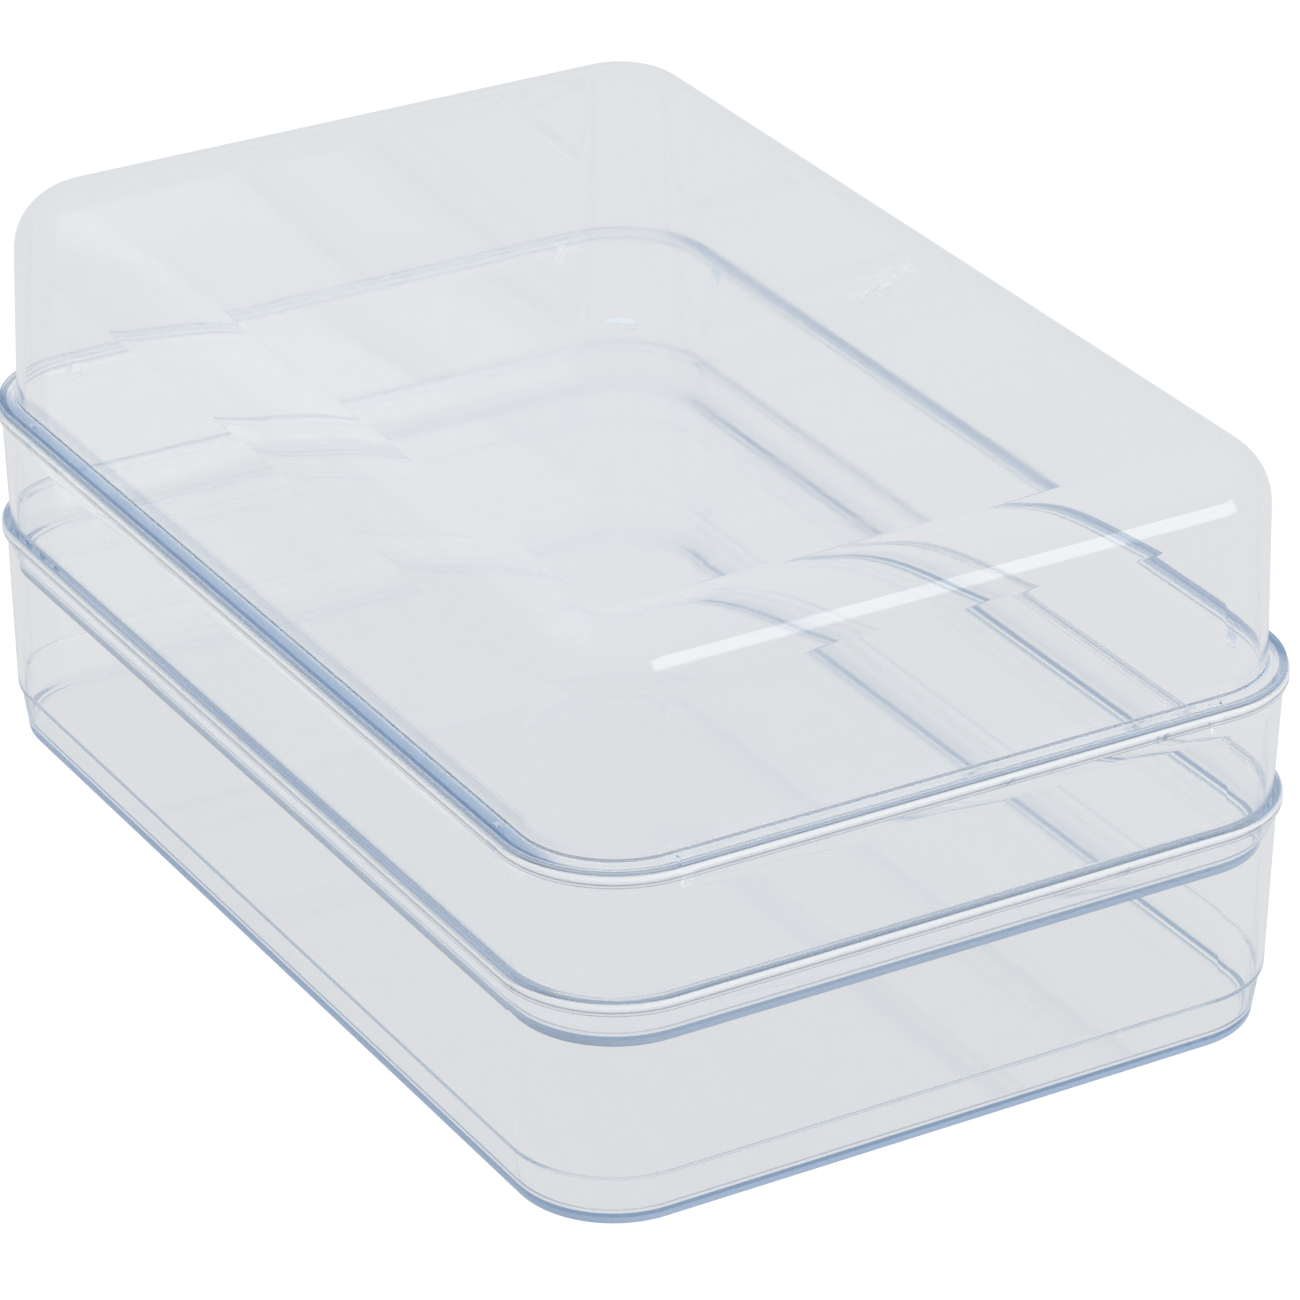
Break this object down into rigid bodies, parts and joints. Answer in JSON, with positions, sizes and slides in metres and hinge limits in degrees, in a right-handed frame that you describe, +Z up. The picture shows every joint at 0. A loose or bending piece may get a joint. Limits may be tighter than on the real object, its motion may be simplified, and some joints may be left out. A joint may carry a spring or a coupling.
{
  "type": "fridge bin",
  "caption": "Clear plastic fridge storage set: a deep open bin, a shallower bin nested in its mouth, and a tall domed cover with locating tabs.",
  "frame": {"origin": "centre of the bottom bin's underside, on the shelf it stands on", "axes": "+Y along the long side, +X along the short side, +Z up; the end walls face -Y and +Y"},
  "size_m": [0.2, 0.3, 0.1443],
  "materials": {
    "clear_plastic": "clear, polished"
  },
  "bodies": {
    "bottom_bin": {"bottom_bin": "clear_plastic"},
    "middle_bin": {"middle_bin": "clear_plastic"},
    "cover": {"cover": "clear_plastic"}
  },
  "joints": [
    {"name": "middle_bin_lift", "type": "slide", "parent": "bottom_bin", "child": "middle_bin", "axis": [0, 0, 1], "range_m": [0, 0.09]},
    {"name": "cover_lift", "type": "slide", "parent": "middle_bin", "child": "cover", "axis": [0, 0, 1], "range_m": [0, 0.12]}
  ]
}
